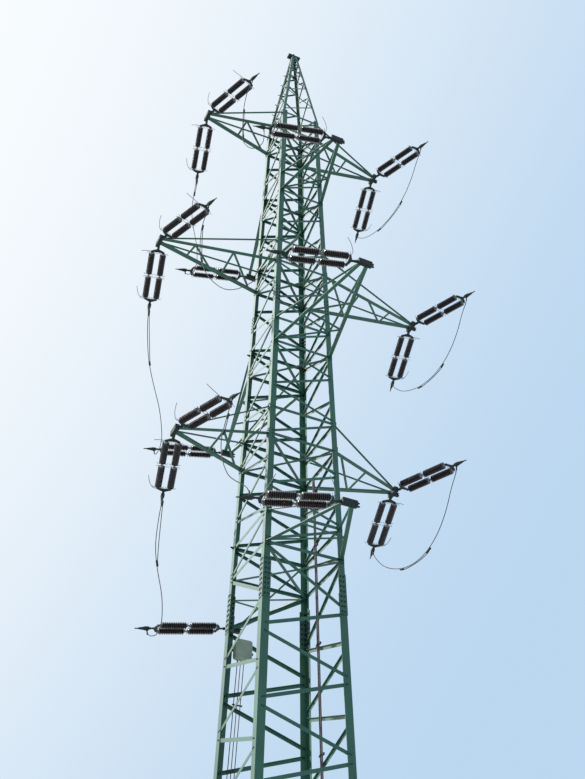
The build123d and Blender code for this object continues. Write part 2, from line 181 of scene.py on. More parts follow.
lookSettings = {
    "greenPaint": {
        "color": (0.009, 0.094, 0.053), "roughness": 0.5, "coat": (0.65, 0.5), "fade": ((0.021, 0.138, 0.083), 0.7, 1),
        "grime": ((0.032, 0.050, 0.036), 2.6, 0.5), "chips": ((0.16, 0.10, 0.06), 16.0, 0.4),
    },
    "greyPaint": {
        "color": (0.33, 0.43, 0.33), "roughness": 0.5, "coat": (0.1, 0.5), "fade": ((0.40, 0.51, 0.40), 2.0, 1),
        "grime": ((0.22, 0.23, 0.19), 3.0, 0.5), "chips": ((0.3, 0.3, 0.27), 20.0, 0.2),
    },
    "brownPaint": {
        "color": (0.080, 0.063, 0.063), "roughness": 0.55, "fade": ((0.115, 0.093, 0.093), 2.0, 1),
        "grime": ((0.10, 0.07, 0.06), 5.0, 0.5), "chips": ((0.3, 0.25, 0.2), 25.0, 0.3),
    },
    "blackSheath": {
        "color": (0.030, 0.032, 0.036), "roughness": 0.6, "fade": ((0.055, 0.055, 0.060), 3.0, 1),
        "grime": ((0.09, 0.09, 0.08), 4.0, 0.5), "chips": ((0.05, 0.05, 0.05), 20.0, 0.1),
    },
    "zinc": {
        "color": (0.17, 0.19, 0.19), "roughness": 0.55, "metallic": 0.45,
        "spangle": ((0.27, 0.29, 0.29), 60.0, 1), "stain": ((0.14, 0.12, 0.10), 3.0, 0.5),
    },
    # Dark zinc: dull galvanised steel, its colour darkened further with painted shade
    "darkZincWithPaintedShade": {
        "color": (0.016, 0.028, 0.026), "roughness": 0.62, "metallic": 0.35,
        "spangle": ((0.030, 0.044, 0.041), 40.0, 1), "stain": ((0.030, 0.030, 0.026), 3.0, 0.5),
    },
    "wireMetal": {
        "color": (0.045, 0.052, 0.058), "roughness": 0.6, "metallic": 0.25,
        "spangle": ((0.072, 0.080, 0.090), 50.0, 1), "stain": ((0.05, 0.05, 0.05), 4.0, 0.5),
    },
    "brownGlaze": {
        "color": (0.016, 0.010, 0.011), "roughness": 0.28, "coat": (0.45, 0.15),
        "tone": ((0.026, 0.015, 0.015), 1.3, 1), "dust": ((0.06, 0.05, 0.05), 9.0, 0.25),
    },
}
greenPaint, greyPaint, brownPaint, blackSheath, zinc, darkZincWithPaintedShade, wireMetal, brownGlaze = (
    makeLook(name, settings) for name, settings in lookSettings.items()
)
lookOfSlot = {
    "green_paint": greenPaint, "insulator_glaze": brownGlaze, "zinc_fittings": zinc, "conductor": wireMetal,
    "grey_box": greyPaint, "brown_pipe": brownPaint, "cable_sheath": blackSheath,
}
slotOfNode = {row["node"]: row["material_slot"] for row in frame["record"]["subparts"]}
for node, mesh in frame["nodes"].items():
    mesh.data.materials.clear()
    # The peak cap takes the dark zinc with painted shade in place of the look of its slot
    mesh.data.materials.append(darkZincWithPaintedShade if node == "peak_cap" else lookOfSlot[slotOfNode[node]])
print("materials", flush=True)


def circle(sides):
    return [(cos(angle), sin(angle)) for angle in (2 * pi * i / sides for i in range(sides))]


# Faces between the ring of points from start on and the next ring
def band(start, sides):
    steps = [(start + i, start + (i + 1) % sides) for i in range(sides)]
    return [(a, b, b + sides, a + sides) for a, b in steps]


# Vertices and faces collected from simple solids
class Shapes:
    def __init__(self):
        self.points = []
        self.faces = []

    def add(self, points, faces, place):
        start = len(self.points)
        self.points += [place @ Vector(p) for p in points]
        self.faces += [[start + i for i in face] for face in faces]

    def box(self, low, high, place=noTurn):
        points = [(x, y, z) for x in (low[0], high[0]) for y in (low[1], high[1]) for z in (low[2], high[2])]
        self.add(points, [(0, 1, 3, 2), (4, 6, 7, 5), (0, 4, 5, 1), (2, 3, 7, 6), (0, 2, 6, 4), (1, 5, 7, 3)], place)

    # A flat outline in X and Y, thickened both ways along Z
    def plate(self, outline, thick, place=noTurn):
        count = len(outline)
        points = [(x, y, z) for z in (-thick / 2, thick / 2) for x, y in outline]
        faces = [tuple(reversed(range(count))), tuple(range(count, 2 * count)), *band(0, count)]
        self.add(points, faces, place)

    # A profile of (x, radius) turned about X, closed at both ends
    def turned(self, profile, sides, place=noTurn):
        points = [(profile[0][0], 0, 0)]
        for x, radius in profile:
            points += [(x, radius * y, radius * z) for y, z in circle(sides)]
        points.append((profile[-1][0], 0, 0))
        end = 1 + (len(profile) - 1) * sides
        faces = [(0, 1 + (i + 1) % sides, 1 + i) for i in range(sides)]
        for ring in range(len(profile) - 1):
            faces += band(1 + ring * sides, sides)
        faces += [(end + i, end + (i + 1) % sides, len(points) - 1) for i in range(sides)]
        self.add(points, faces, place)

    # A round bar along a line of points
    def tube(self, line, radius, sides, place=noTurn):
        line = [Vector(p) for p in line]
        points = []
        side = (line[1] - line[0]).orthogonal().normalized()
        for index, point in enumerate(line):
            along = (line[min(index + 1, len(line) - 1)] - line[max(index - 1, 0)]).normalized()
            side = (side - along * side.dot(along)).normalized()
            other = along.cross(side)
            points += [point + side * (radius * x) + other * (radius * y) for x, y in circle(sides)]
        end = (len(line) - 1) * sides
        faces = [tuple(reversed(range(sides))), tuple(range(end, end + sides))]
        for ring in range(len(line) - 1):
            faces += band(ring * sides, sides)
        self.add(points, faces, place)

    # One object, its edges soft below the angle in smooth
    def piece(self, name, look, smooth=None):
        mesh = bpy.data.meshes.new(name)
        mesh.from_pydata([tuple(p) for p in self.points], [], self.faces)
        mesh.materials.append(look)
        if smooth is not None:
            mesh.shade_smooth()
            mesh.set_sharp_from_angle(angle=radians(smooth))
        return addObject(name, mesh)


def finishPiece(piece, slotName, *replaced):
    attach(piece, "root")
    if replaced:
        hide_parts(*replaced)
    return piece


# Fittings default to the dark zinc, whose colour holds painted shade
def finishFittings(shapes, name, smooth=None, look=darkZincWithPaintedShade, replaced=()):
    return finishPiece(shapes.piece(name, look, smooth), "zinc_fittings", *replaced)


# A template repeated at many places with Geometry Nodes, as one mesh
def repeated(name, template, places, look, size=1.0):
    carrier = bpy.data.meshes.new(name + "Places")
    carrier.from_pydata([tuple(place.translation) for place in places], [], [])
    turns = carrier.attributes.new("turn", "FLOAT_VECTOR", "POINT")
    turns.data.foreach_set("vector", [angle for place in places for angle in place.to_euler()])
    holder = addObject(name, carrier)
    tree = bpy.data.node_groups.new(name + "Nodes", "GeometryNodeTree")
    for way in ("INPUT", "OUTPUT"):
        tree.interface.new_socket("Geometry", in_out=way, socket_type="NodeSocketGeometry")
    named = {}
    for label, kind, value in (("Template", "Object", template), ("Size", "Float", size), ("Look", "Material", look)):
        socket = tree.interface.new_socket(label, in_out="INPUT", socket_type="NodeSocket" + kind)
        named[socket.identifier] = value
    entry = tree.nodes.new("NodeGroupInput")
    points, shape, scale, paint = (Wire(tree, entry.outputs[key]) for key in ("Geometry", "Template", "Size", "Look"))
    shape = shape.node("GeometryNodeObjectInfo", {"Object": shape}, output="Geometry")
    turn = points.node("GeometryNodeInputNamedAttribute", {"Name": "turn"}, data_type="FLOAT_VECTOR")
    made = points.node(
        "GeometryNodeInstanceOnPoints", {"Points": points, "Instance": shape, "Rotation": turn, "Scale": scale}
    )
    made = made.node("GeometryNodeRealizeInstances", {0: made})
    made = made.node("GeometryNodeSetMaterial", {"Geometry": made, "Material": paint})
    tree.links.new(made.socket, tree.nodes.new("NodeGroupOutput").inputs[0])
    modifier = holder.modifiers.new("repeat", "NODES")
    modifier.node_group = tree
    for identifier, value in named.items():
        modifier[identifier] = value
    baked = bakedMesh(holder)
    baked.name = name
    holder.modifiers.clear()
    holder.data = baked
    bpy.data.objects.remove(template)
    return holder


# Tower numbers in metres
towerSettings = {
    "topChord": 32.4, "levelSpacing": 3.35, "halfAtTopChord": 0.69, "lean": 0.0227, "tieRise": 0.92,
    "bodyTop": 33.45, "tipMiddle": -0.02,
    "reach": {
        "main_high": 3.15, "branch_high": 3.28, "main_middle": 4.26,
        "branch_middle": 4.62, "main_low": 3.23, "branch_low": 3.41,
    },
}
stringSettings = {
    "directions": {"near": (161.0, 5.0), "far": (13.0, 16.0), "branch": (278.0, 9.0)},
    "lugStart": 0.15, "lug": 0.10, "linkHalf": 0.03,
    "nearLinks": {"main": 0.05, "branch": 0.11}, "farLinks": {"main": 0.06, "branch": 0.115},
    "yokeDepth": 0.12, "yokeShoulder": 0.09, "yokeHalf": 0.205, "yokeThick": 0.024,
    "capLength": 0.045, "capHalf": 0.03, "spacing": 0.33, "shed": 0.69, "gap": 0.032,
    "clamp": 0.39, "clampRadius": 0.032,
}


def armHeight(level):
    kind, size = level.split("_")
    step = {"high": 0, "middle": 2, "low": 4}[size] + (kind == "branch")
    return towerSettings["topChord"] - step * towerSettings["levelSpacing"]


def halfWidth(height):
    return towerSettings["halfAtTopChord"] + towerSettings["lean"] * (towerSettings["topChord"] - height)


# The middle of a tip box, before its side is turned
def tipMiddle(level):
    return Vector((0, -towerSettings["reach"][level], armHeight(level) + towerSettings["tipMiddle"]))


# X along the string, Z up, the origin where the lug leaves the tip box
def stringPlace(level, side, line):
    azimuth, fall = (radians(angle) for angle in stringSettings["directions"][line])
    tip = quarterTurn(turnOfSide[side]) @ tipMiddle(level)
    flat = Vector((sin(azimuth), cos(azimuth), 0))
    along = flat * cos(fall) - Vector((0, 0, sin(fall)))
    across = Vector((cos(azimuth), -sin(azimuth), 0))
    origin = tip + flat * stringSettings["lugStart"]
    turn = Matrix((along, -across, across.cross(along))).transposed()
    return Matrix.Translation(origin) @ turn.to_4x4()


# Where the first rods, the second rods and the clamp start
def stringMarks(kind):
    s = stringSettings
    rodsStart = s["lug"] + s["nearLinks"][kind] + s["yokeDepth"] + s["capLength"]
    second = rodsStart + s["shed"] + 2 * s["capLength"] + s["gap"]
    clampStart = second + s["shed"] + s["capLength"] + s["yokeDepth"] + s["farLinks"][kind]
    return rodsStart, second, clampStart


allStrings = {"main": [], "branch": []}
for level, side in arms:
    kind = level.split("_")[0]
    for line in linesOfKind[kind]:
        allStrings[kind].append((stringPlace(level, side, line), line, side))

# Porcelain long rods: each shed as share of its pitch and radius
rodSettings = {
    "sheds": 14, "sides": 20, "core": 0.060,
    "outline": ((0.0, 0.060), (0.14, 0.066), (0.32, 0.091), (0.40, 0.095), (0.62, 0.094), (0.74, 0.068)),
}


def rodProfile():
    r = rodSettings
    pitch = stringSettings["shed"] / r["sheds"]
    profile = [(pitch * (shed + share), radius) for shed in range(r["sheds"]) for share, radius in r["outline"]]
    return profile + [(stringSettings["shed"], r["core"])]


def buildRods(kind):
    template = Shapes()
    template.turned(rodProfile(), rodSettings["sides"])
    rod = template.piece("rodTemplate", brownGlaze, 50)
    places = [
        place @ moved(start, offset * stringSettings["spacing"], 0)
        for place, *_ in allStrings[kind] for start in stringMarks(kind)[:2] for offset in (-0.5, 0.5)
    ]
    finishPiece(repeated(f"{kind}Rods", rod, places, brownGlaze), "insulator_glaze", f"insulators_{kind}")


buildRods("main")
buildRods("branch")
print("rods", flush=True)

# Caps, joints, yokes, horns and clamps of the strings
fittingSettings = {
    "sides": 18,
    "capProfile": ((0.0, 0.022), (0.006, 0.034), (0.020, 0.044), (0.038, 0.050), (0.046, 0.058), (0.049, 0.054)),
    "jointProfile": ((-0.022, 0.012), (-0.008, 0.020), (0.008, 0.020), (0.022, 0.012)), "jointSides": 12,
    "neck": 0.6, "waist": 1.25, "waistStart": 0.01, "hip": (0.55, 0.62), "edgeBack": 0.01, "eyeOut": 0.02,
    "notchBack": 0.012, "notchHalf": 0.8,
    # Shares of the reach and of the bend at its ends
    "barLine": ((-1, 1), (-0.8, 0.3), (-0.5, 0), (0.5, 0), (0.8, 0.3), (1, 1)),
    "barReach": 0.155, "barRadius": 0.0065, "barBend": 0.035, "barStart": 0.012,
    "hornRadius": 0.0085, "hornInset": 0.02, "hornSteps": 4,
    "horns": {
        ("near", "nearYoke"): (
            (0, 0.19, 0), (-0.03, 0.28, 0.03), (-0.01, 0.34, 0.12), (0.03, 0.39, 0.26), (0.08, 0.40, 0.43),
        ),
        ("near", "farYoke"): (
            (0, 0.19, 0), (-0.02, 0.26, 0.04), (-0.08, 0.35, 0.13), (-0.16, 0.44, 0.24), (-0.22, 0.51, 0.33),
        ),
        ("far", "nearYoke"): ((0, 0.19, 0), (0.0, 0.28, 0.0), (0.02, 0.38, 0.02), (0.05, 0.48, 0.03)),
        ("far", "farYoke"): (
            (0, 0.19, 0), (0.0, 0.28, 0.0), (-0.06, 0.36, 0.03), (-0.18, 0.42, 0.05), (-0.34, 0.46, 0.08),
        ),
    },
    # The side they bend to, and their size
    "hornSides": {
        ("near", "left"): (-1, 1.0), ("near", "right"): (1, 0.35),
        ("far", "left"): (1, 1.0), ("far", "right"): (-1, 0.85),
        ("branch", "front"): (1, 1.0), ("branch", "back"): (-1, 0.7),
    },
    "clampProfile": (
        (-0.015, 0.020), (0.0, 0.045), (0.02, 0.054), (0.12, 0.054), (0.16, 0.042), (0.25, 0.030),
        (0.30, 0.017), (0.388, 0.013),
    ),
    "clampBlock": ((-0.050, -0.024, -0.020), (0.020, 0.024, 0.020)),
    "lugPlates": (
        ((-0.045, -0.026, -0.030), (0.035, -0.0125, 0.030)), ((-0.045, 0.0125, -0.030), (0.035, 0.026, 0.030)),
    ),
    "pins": (0.018, -0.028), "pinRadius": 0.016, "pinReach": 0.04,
    "boltHead": 0.018, "boltHigh": 0.015, "rodBolt": 0.028, "linkBolt": 0.022,
}


def yokeOutline(link):
    s, f = stringSettings, fittingSettings
    depth = link + s["yokeDepth"]
    tip = depth + f["eyeOut"]
    outer = s["spacing"] / 2 + s["capHalf"]
    inner = s["spacing"] / 2 - s["capHalf"]
    hipStart, hipHalf = f["hip"]
    half = [
        (0, s["linkHalf"]), (link * f["neck"], s["linkHalf"]), (link + f["waistStart"], s["linkHalf"] * f["waist"]),
        (link + hipStart * s["yokeShoulder"], hipHalf * s["yokeHalf"]), (link + s["yokeShoulder"], s["yokeHalf"]),
        (depth - f["edgeBack"], s["yokeHalf"]), (tip, outer), (tip, inner),
        (depth - f["notchBack"], inner * f["notchHalf"]),
    ]
    return list(reversed(half + [(x, -y) for x, y in reversed(half)]))


# A smooth line through the guides, steps(length) points a stretch
def smoothLine(guides, steps):
    padded = [2 * guides[0] - guides[1], *guides, 2 * guides[-1] - guides[-2]]
    line = [guides[0]]
    for a, b, c, d in zip(padded, padded[1:], padded[2:], padded[3:]):
        count = steps((c - b).length)
        for step in range(1, count + 1):
            t = step / count
            bend = a * (2 * t**2 - t - t**3) + b * (2 - 5 * t**2 + 3 * t**3)
            line.append((bend + c * (t + 4 * t**2 - 3 * t**3) + d * (t**3 - t**2)) / 2)
    return line


def addHex(shapes, place, radius, high):
    shapes.plate([(radius * x, radius * y) for x, y in circle(6)], high, place @ moved(0, 0, high / 2))


# A bolt head on both faces of a yoke
def addYokeBolt(shapes, place):
    f = fittingSettings
    for face in (noTurn, halfTurnX):
        addHex(shapes, place @ face @ moved(0, 0, stringSettings["yokeThick"] / 2), f["boltHead"], f["boltHigh"])


# A bar across a cap, its ends bent along the rod
def addBar(shapes, place):
    f = fittingSettings
    line = [(f["barBend"] * bend, f["barReach"] * reach, 0) for reach, bend in f["barLine"]]
    shapes.tube(line, f["barRadius"], 6, place)


def buildFittings(kind):
    s, f = stringSettings, fittingSettings
    rodsStart, second, clampStart = stringMarks(kind)
    plates, caps, horns, clamps = Shapes(), Shapes(), Shapes(), Shapes()
    nearLink, farLink = s["nearLinks"][kind], s["farLinks"][kind]
    yokeNear, yokeFar = nearLink + s["yokeDepth"], farLink + s["yokeDepth"]
    capStarts = []
    for start in (rodsStart, second):
        capStarts += [(start - s["capLength"], noTurn), (start + s["shed"] + s["capLength"], halfTurnZ)]
    for place, line, side in allStrings[kind]:
        near = place @ moved(s["lug"], 0, 0)
        clampPlace = place @ moved(clampStart, 0, 0)
        far = clampPlace @ halfTurnZ
        plates.plate(yokeOutline(nearLink), s["yokeThick"], near)
        plates.plate(yokeOutline(farLink), s["yokeThick"], far)
        for offset in (-s["spacing"] / 2, s["spacing"] / 2):
            for start, turn in capStarts:
                capPlace = place @ moved(start, offset, 0) @ turn
                caps.turned(f["capProfile"], f["sides"], capPlace)
                addBar(horns, capPlace @ moved(f["barStart"], 0, 0))
            joint = place @ moved(second - s["capLength"] - s["gap"] / 2, offset, 0)
            caps.turned(f["jointProfile"], f["jointSides"], joint)
            for yoke, depth in ((near, yokeNear), (far, yokeFar)):
                addYokeBolt(plates, yoke @ moved(depth - f["rodBolt"], offset, 0))
        for yoke in (near, far):
            addYokeBolt(plates, yoke @ moved(f["linkBolt"], 0, 0))
        mirror, scale = f["hornSides"][line, side]
        shape = "near" if line == "branch" else line
        for end, start in (
            ("nearYoke", near @ moved(yokeNear - f["hornInset"], 0, 0)),
            ("farYoke", place @ moved(clampStart - yokeFar + f["hornInset"], 0, 0)),
        ):
            points = f["horns"][shape, end]
            root = points[0][1]
            bend = [Vector((x * scale, (root + (y - root) * scale) * mirror, z * scale)) for x, y, z in points]
            horns.tube(smoothLine(bend, lambda length: f["hornSteps"]), f["hornRadius"], 8, start)
        clamps.turned(f["clampProfile"], f["sides"], clampPlace)
        clamps.box(*f["clampBlock"], clampPlace)
        for low, high in f["lugPlates"]:
            clamps.box(low, high, near)
        for x in f["pins"]:
            clamps.tube([(x, -f["pinReach"], 0), (x, f["pinReach"], 0)], f["pinRadius"], 8, near)
    finishFittings(plates, f"{kind}Yokes", replaced=[f"string_fittings_{kind}"])
    finishFittings(caps, f"{kind}Caps", 40, zinc)
    finishFittings(horns, f"{kind}Horns", 60, zinc)
    finishFittings(clamps, f"{kind}Clamps", 40)


buildFittings("main")
buildFittings("branch")
print("fittings", flush=True)

# Jumpers: share of the way in plan, drop and outward swing, as in the solid model
under, over = -1, 1
jumperSettings = {
    "diameter": 0.022, "clampShare": 0.15, "lead": 0.18, "run": 0.29,
    "shapes": {
        "under_arm": (
            (0.07, 0.30, 0.0), (0.15, 0.62, 0.0), (0.27, 0.90, 0.0), (0.43, 1.02, 0.0),
            (0.60, 0.95, 0.0), (0.75, 0.76, 0.0), (0.89, 0.47, 0.0),
        ),
        "to_front_high": (
            (0.0, 0.85, 0.16), (0.03, 1.55, 0.25), (0.12, 1.95, 0.30), (0.25, 2.28, 0.34),
            (0.38, 2.50, 0.33), (0.60, 2.10, 0.13), (0.85, 1.05, -0.08), (0.98, 0.40, -0.04),
        ),
        "to_front_middle": (
            (-0.02, 0.95, 0.10), (-0.02, 1.57, 0.12), (0.0, 2.14, 0.12), (0.06, 2.54, 0.09),
            (0.16, 2.74, 0.05), (0.32, 2.70, 0.0), (0.53, 2.22, 0.0), (0.76, 1.38, 0.0), (0.94, 0.56, 0.0),
        ),
        "to_front_low": (
            (0.0, 0.50, 0.09), (0.07, 0.82, 0.21), (0.15, 0.96, 0.30), (0.26, 1.01, 0.34),
            (0.39, 0.98, 0.34), (0.55, 0.84, 0.28), (0.70, 0.52, 0.18), (0.86, 0.12, 0.08),
        ),
        "to_back": (
            (0.05, 0.32, 0.03), (0.18, 0.36, 0.05), (0.32, 0.36, 0.03), (0.46, 0.42, -0.10),
            (0.60, 0.60, -0.30), (0.76, 0.74, -0.36), (0.88, 0.62, -0.22),
        ),
    },
    # Side and line of the start, then kind, side and line of the end
    "ends": {
        "right": ("right", "near", "main", "right", "far"), "front": ("left", "near", "branch", "front", "branch"),
        "back": ("left", "far", "branch", "back", "branch"),
    },
    # Face of the end, shape, drop, sleeves, straightness
    "rows": {
        "right_high": (under, "under_arm", 1.32, (0.39, 0.66), 0.35),
        "right_middle": (under, "under_arm", 1.47, (0.42, 0.65), 0.35),
        "right_low": (under, "under_arm", 1.62, (0.43, 0.66), 0.35),
        "front_high": (under, "to_front_high", 1.0, (0.36, 0.66), 0.0),
        "front_middle": (under, "to_front_middle", 1.0, (0.16, 0.38), 0.6),
        "front_low": (over, "to_front_low", 1.0, (0.16, 0.32), 0.3),
        "back_high": (under, "to_back", 1.0, (0.07, 0.18), 0.3),
        "back_middle": (under, "to_back", 1.0, (0.06, 0.36), 0.8),
        "back_low": (under, "to_back", 1.0, (0.06, 0.44), 0.8),
    },
    "sleeveRadius": 0.031, "sleeveLength": 0.20, "gap": Vector((0.030, -0.010, -0.046)),
    "terminalRadius": 0.018, "terminalLine": (-0.02, 0.10, 0.15), "collarLine": (0.012, 0.036), "collarSize": 1.9,
}


def jumperEnd(level, side, line, face):
    place = stringPlace(level, side, line)
    along = stringMarks(level.split("_")[0])[2] + jumperSettings["clampShare"] * stringSettings["clamp"]
    radius = stringSettings["clampRadius"]
    return [place @ Vector((along, 0, face * reach)) for reach in (radius, radius + jumperSettings["lead"])]


def jumperPoints(start, end, shape, drop):
    guides = [*start]
    for share, down, out in shape:
        guides.append(start[0] + (end[0] - start[0]) * share + Vector((-out, 0, -down * drop)))
    guides += [end[1], end[0]]
    return smoothLine(guides, lambda length: ceil(length / jumperSettings["run"]))


# The middle line of a jumper, read from its curve without the bevel
def middleLine(jumper):
    bare = addObject("bareLine", jumper.data.copy())
    bare.data.bevel_depth = 0
    line = [vertex.co.copy() for vertex in bakedMesh(bare).vertices]
    bpy.data.objects.remove(bare)
    return line


def lineLength(line):
    return sum((b - a).length for a, b in zip(line, line[1:]))


def lineStretch(line, low, high):
    total = lineLength(line)
    walked = 0.0
    kept = []
    for a, b in zip(line, line[1:]):
        if low * total <= walked <= high * total:
            kept.append(a)
        walked += (b - a).length
    return kept


# The strand between two sleeves, straighter than the jumper
def secondStrand(line, low, high, straightness):
    stretch = lineStretch(line, low, high)
    strand = []
    for index, point in enumerate(stretch):
        chord = stretch[0].lerp(stretch[-1], index / (len(stretch) - 1))
        strand.append(point.lerp(chord, straightness) + jumperSettings["gap"])
    return strand


def jumperCurve(name, points):
    curve = bpy.data.curves.new(name, "CURVE")
    curve.dimensions = "3D"
    curve.bevel_depth = jumperSettings["diameter"] / 2
    curve.bevel_resolution = 3
    curve.use_fill_caps = True
    spline = curve.splines.new("NURBS")
    spline.points.add(len(points) - 1)
    for target, point in zip(spline.points, points):
        target.co = (*point, 1)
    spline.order_u = 3
    spline.use_endpoint_u = True
    spline.resolution_u = 5
    curve.materials.append(wireMetal)
    return addObject(name, curve)


# A socket with a collar where a jumper enters a clamp
def addTerminal(shapes, tail):
    j = jumperSettings
    away = (tail[0] - tail[1]).normalized()
    for reaches, size, sides in (("terminalLine", 1, 10), ("collarLine", j["collarSize"], 6)):
        shapes.tube([tail[0] - away * reach for reach in j[reaches]], j["terminalRadius"] * size, sides)


def buildJumpers():
    j = jumperSettings
    terminals = Shapes()
    for name, (face, shape, drop, sleeves, straightness) in j["rows"].items():
        way, size = name.split("_")
        side, line, farKind, farSide, farLine = j["ends"][way]
        start = jumperEnd(f"main_{size}", side, line, under)
        end = jumperEnd(f"{farKind}_{size}", farSide, farLine, face)
        points = jumperPoints(start, end, j["shapes"][shape], drop)
        jumper = jumperCurve(f"{name}Jumper", points)
        finishPiece(jumper, "conductor", f"jumper_{name}")
        middle = middleLine(jumper)
        length = lineLength(middle)
        half = j["sleeveLength"] / 2 / length
        pair = Shapes()
        for share in sleeves:
            sleeve = [p + j["gap"] / 2 for p in lineStretch(middle, share - half, share + half)]
            pair.tube(sleeve, j["sleeveRadius"], 12)
        pair.tube(secondStrand(middle, *sleeves, straightness), j["diameter"] / 2, 8)
        pairPiece = finishFittings(pair, f"{name}Sleeves", 40)
        print(name, round(length, 3), flush=True)
        addTerminal(terminals, start)
        addTerminal(terminals, end)
    finishFittings(terminals, "jumperTerminals", 40)


buildJumpers()
print("jumpers", flush=True)

# Bracing of the sides, as in the solid model: a bar is height and side of both ends
bracingSettings = {
    "gauge": 0.12, "strutGap": 0.22, "upperGap": 0.12, "lowerGap": 0.21, "firstBay": 1.4, "lowerBayShare": 0.397,
    "upperBays": 3, "footClearance": 0.45, "legThick": 0.016, "braceThick": 0.008, "spliceDrop": 0.95,
    "boltInward": 0.032, "boltOutward": 0.018,
}
levelHeights = sorted({armHeight(level) for level, side in arms})
spliceHeight = levelHeights[0] - bracingSettings["spliceDrop"]


def zigzag(heights, gaps, side):
    bars = []
    for low, high, lowGap, highGap in zip(heights, heights[1:], gaps, gaps[1:]):
        bars.append(((low + lowGap / 2, side), (high - highGap / 2, -side)))
        side = -side
    return bars


def sideBars():
    b = bracingSettings
    heights = [levelHeights[0] - b["firstBay"]]
    while (lower := heights[-1] - b["lowerBayShare"] * 2 * halfWidth(heights[-1])) >= b["footClearance"]:
        heights.append(lower)
    lowest = 1 if len(heights) % 2 else -1
    heights.reverse()
    bars = zigzag(heights, [b["lowerGap"]] * len(heights), lowest)
    bars.append(((levelHeights[0] - b["firstBay"] + b["lowerGap"] / 2, 1), (levelHeights[0] - b["strutGap"] / 2, -1)))
    for index, low in enumerate(levelHeights):
        tie = low + towerSettings["tieRise"]
        bars += [((height, -1), (height, 1)) for height in (low, tie)]
        heights = [low, tie]
        gaps = [b["strutGap"]] * 2
        if index + 1 < len(levelHeights):
            step = (levelHeights[index + 1] - tie) / b["upperBays"]
            heights += [tie + step * bay for bay in range(1, b["upperBays"] + 1)]
            gaps += [b["upperGap"]] * (b["upperBays"] - 1) + [b["strutGap"]]
        bars += zigzag(heights, gaps, -1)
    return bars


# A place on a side that leans in by slope, its Z outwards and its Y up the slope
def leaningPlace(turns, across, half, height, slope, out=0.0):
    normal = Vector((0, -1, slope)).normalized()
    up = normal.cross(Vector((1, 0, 0)))
    turn = Matrix((Vector((1, 0, 0)), up, normal)).transposed().to_4x4()
    point = Vector((across, -half, height)) + normal * out
    return quarterTurn(turns) @ Matrix.Translation(point) @ turn


def facePlace(turns, across, height, out=0.0):
    return leaningPlace(turns, across, halfWidth(height), height, towerSettings["lean"], out)


# Bolts: head outside, nut and thread inside, one template for Geometry Nodes
boltSettings = {
    "head": 0.017, "headHigh": 0.013, "nutHigh": 0.016, "thread": 0.010, "threadReach": 0.012,
    "washer": 0.021, "washerHigh": 0.003,
    "upperSplice": 24.3, "upperRows": 5, "upperPitch": 0.13,
    "spliceRows": 8, "splicePitch": 0.136, "spliceColumns": (0.055, 0.135), "spliceGrip": 0.028,
    "gussetColumns": (-0.038, 0.038), "gussetRows": (-0.095, -0.032, 0.032, 0.095), "tieRows": (-0.055, 0.055),
    "gussetWidth": 0.14, "gussetThick": 0.012, "chordOutstand": 0.055,
    "bracingSize": 1.0, "spliceSize": 1.35, "upperSize": 1.25, "gussetSize": 1.1,
}


def boltTemplate(name, grip):
    b = boltSettings
    shapes = Shapes()
    addHex(shapes, noTurn, b["head"], b["headHigh"])
    inside = moved(0, 0, -grip) @ halfTurnX
    shapes.tube([(0, 0, 0), (0, 0, b["washerHigh"])], b["washer"], 8, inside)
    addHex(shapes, inside @ moved(0, 0, b["washerHigh"]), b["head"], b["nutHigh"])
    reach = b["washerHigh"] + b["nutHigh"]
    shapes.tube([(0, 0, reach), (0, 0, reach + b["threadReach"])], b["thread"], 6, inside)
    # Bolts take the dark zinc with painted shade, which makes them dark dots on the paint
    return shapes.piece(name, darkZincWithPaintedShade)


def boltPiece(name, places, grip, size):
    template = boltTemplate(name + "Template", grip / size)
    finishPiece(repeated(name, template, places, darkZincWithPaintedShade, size), "zinc_fittings")


def barPlaces():
    b = bracingSettings
    places = []
    for bar in sideBars():
        low, high = (Vector((side * (halfWidth(height) - b["gauge"]), height)) for height, side in bar)
        along = (high - low).normalized()
        for (end, inward), shift in product(((low, along), (high, -along)), (b["boltInward"], -b["boltOutward"])):
            at = end + inward * shift
            places += [facePlace(turns, at.x, at.y) for turns in range(4)]
    return places


def splicePlaces(middle, rows, pitch, cover):
    places = []
    for turns, side, column, row in product(range(4), (-1, 1), boltSettings["spliceColumns"], range(rows)):
        height = middle + (row - (rows - 1) / 2) * pitch
        places.append(facePlace(turns, side * (halfWidth(height) - column), height, cover))
    return places


def gussetPlaces():
    b = boltSettings
    places = []
    for level, armSide in arms:
        height = armHeight(level)
        for middle, shifts in (
            (height + b["chordOutstand"] / 2, b["gussetRows"]), (height + towerSettings["tieRise"], b["tieRows"]),
        ):
            for side, column, up in product((-1, 1), b["gussetColumns"], shifts):
                across = side * (halfWidth(middle) - b["gussetWidth"] / 2) + column
                places.append(facePlace(turnOfSide[armSide], across, middle + up, b["gussetThick"]))
    return places


def buildBolts():
    b = boltSettings
    leg, brace = bracingSettings["legThick"], bracingSettings["braceThick"]
    boltPiece("bracingBolts", barPlaces(), leg + brace, b["bracingSize"])
    lower = splicePlaces(spliceHeight, b["spliceRows"], b["splicePitch"], b["gussetThick"])
    boltPiece("spliceBolts", lower, b["spliceGrip"], b["spliceSize"])
    upper = splicePlaces(b["upperSplice"], b["upperRows"], b["upperPitch"], 0.0)
    boltPiece("upperSpliceBolts", upper, leg, b["upperSize"])
    boltPiece("gussetBolts", gussetPlaces(), b["spliceGrip"], b["gussetSize"])


buildBolts()
print("bolts", flush=True)

